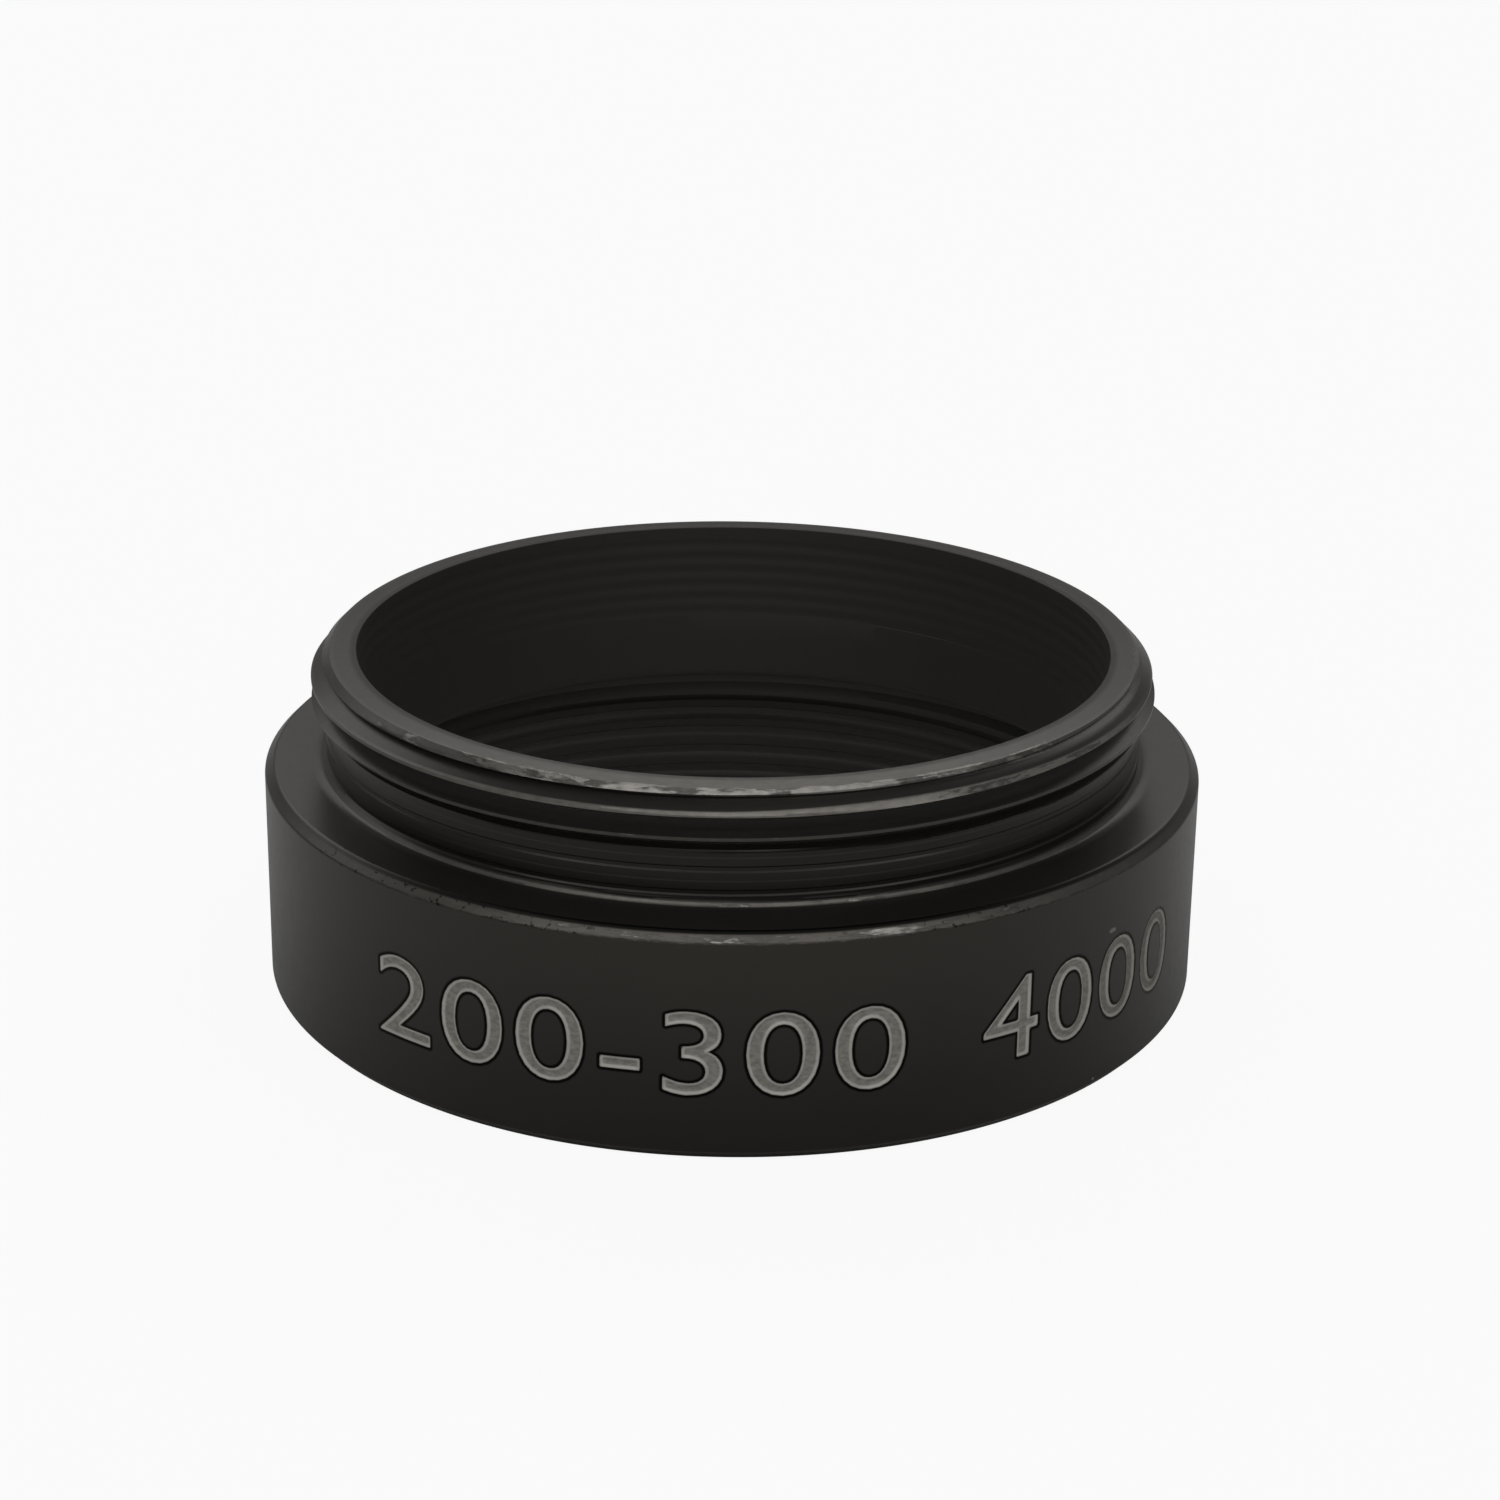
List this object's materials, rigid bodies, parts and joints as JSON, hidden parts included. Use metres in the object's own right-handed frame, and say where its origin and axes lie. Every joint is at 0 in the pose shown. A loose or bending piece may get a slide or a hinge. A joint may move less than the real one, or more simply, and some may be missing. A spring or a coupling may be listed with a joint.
{
  "type": "lens tube",
  "caption": "Short black anodised lens tube: a turned spacer ring with an external thread at one end, a wider plain body and a matching internal thread at the other.",
  "frame": {"origin": "centre of the seat face at the female end, on the optical axis, where the ring stands", "axes": "+Z along the optical axis from the female end to the male end; -Y towards the engraved side"},
  "size_m": [0.029, 0.029, 0.0105],
  "materials": {
    "black_anodised_aluminium": "satin black anodised, with bright wear on the outer edges"
  },
  "bodies": {
    "root": {"lens_tube": "black_anodised_aluminium"}
  },
  "joints": []
}
